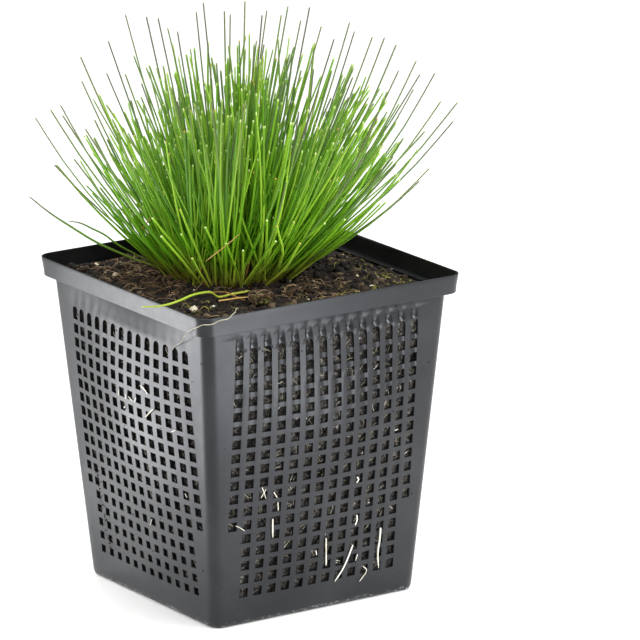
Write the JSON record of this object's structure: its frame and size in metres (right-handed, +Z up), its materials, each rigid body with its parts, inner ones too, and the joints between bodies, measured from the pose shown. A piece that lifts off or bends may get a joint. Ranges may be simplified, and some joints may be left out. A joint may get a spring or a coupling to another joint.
{
  "type": "potted fiber optic grass",
  "caption": "Fiber optic grass, a dense tuft of fine green culms, in a square black mesh basket filled with dark peat soil.",
  "frame": {"origin": "centre of the basket's underside, on the surface it stands on", "axes": "+Z up; the walls that face -Y and -X meet at the basket's front corner, and the tuft is fullest towards +X"},
  "size_m": [0.1451, 0.145, 0.2163],
  "materials": {
    "black_polypropylene": "semi-matte moulded black plastic",
    "peat_soil": "moist crumbly peat, at the density of moist peat",
    "green_culm": "smooth waxy green culms with air between them",
    "straw_culm": "dry straw",
    "pale_root": "matte off-white root",
    "moss_and_fibre": "matte moss and fibre"
  },
  "bodies": {
    "root": {"mesh_pot": "black_polypropylene", "soil": "peat_soil", "grass_tuft": "green_culm", "arching_culm": "green_culm", "fallen_culm": "green_culm", "dry_stalk": "straw_culm", "root_strand": "pale_root", "wall_root_1": "pale_root", "wall_root_2": "pale_root", "wall_root_3": "pale_root", "wall_root_4": "pale_root", "moss_clump": "moss_and_fibre", "peat_crumb_1": "peat_soil", "peat_crumb_2": "peat_soil"}
  },
  "joints": []
}
